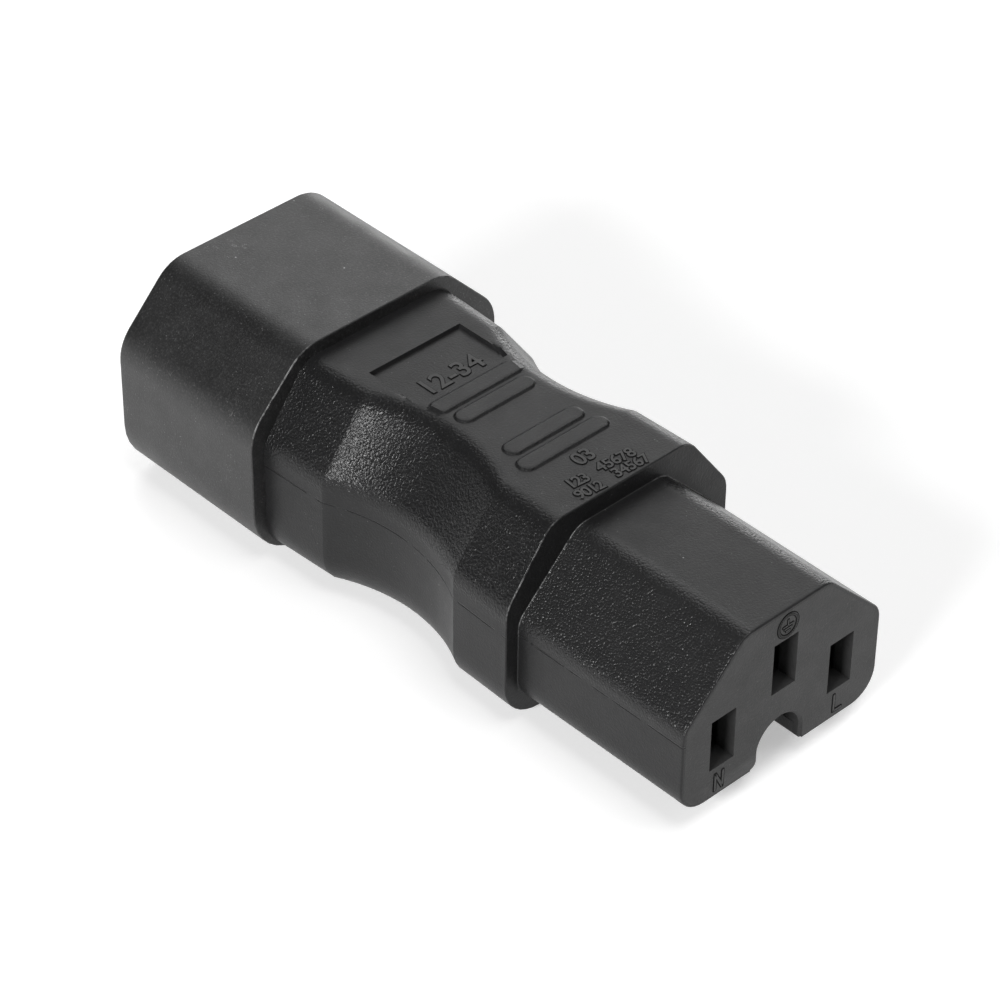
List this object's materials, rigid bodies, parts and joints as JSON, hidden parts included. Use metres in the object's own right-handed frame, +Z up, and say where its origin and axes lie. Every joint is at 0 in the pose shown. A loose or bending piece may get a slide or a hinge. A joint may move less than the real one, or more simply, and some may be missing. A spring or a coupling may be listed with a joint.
{
  "type": "iec power adapter",
  "caption": "Moulded inline mains adapter: a shrouded three-pin plug inlet at one end, a pinched grip, and a keyed three-slot socket nose at the other.",
  "frame": {"origin": "on the surface that the adapter lies on, under the middle of its length", "axes": "+Y from the socket face to the plug shroud's open rim, +Z up on the earth side, +X on the line side"},
  "size_m": [0.0288, 0.0678, 0.0208],
  "materials": {
    "body_pvc": "satin black, spark-grained on the slanting sides",
    "shroud_plastic": "matte black with fine scuffs",
    "insert_plastic": "satin black",
    "inner_plastic": "plain black",
    "premould_plastic": "natural, waxy",
    "pin_metal": "nickel plated",
    "contact_brass": "bright rolled sheet",
    "copper": "bare copper",
    "line_jacket": "brown insulation",
    "neutral_jacket": "blue insulation",
    "earth_jacket": "green and yellow insulation"
  },
  "bodies": {
    "root": {"overmould_body": "body_pvc", "plug_shroud": "shroud_plastic", "socket_insert": "insert_plastic", "insert_rear_cover": "inner_plastic", "pin_retainer": "inner_plastic", "inner_premould": "premould_plastic", "line_pin": "pin_metal", "line_contact": "contact_brass", "line_wire_core": "copper", "line_wire_jacket": "line_jacket", "neutral_pin": "pin_metal", "neutral_contact": "contact_brass", "neutral_wire_core": "copper", "neutral_wire_jacket": "neutral_jacket", "earth_pin": "pin_metal", "earth_contact": "contact_brass", "earth_wire_core": "copper", "earth_wire_jacket": "earth_jacket"}
  },
  "joints": []
}
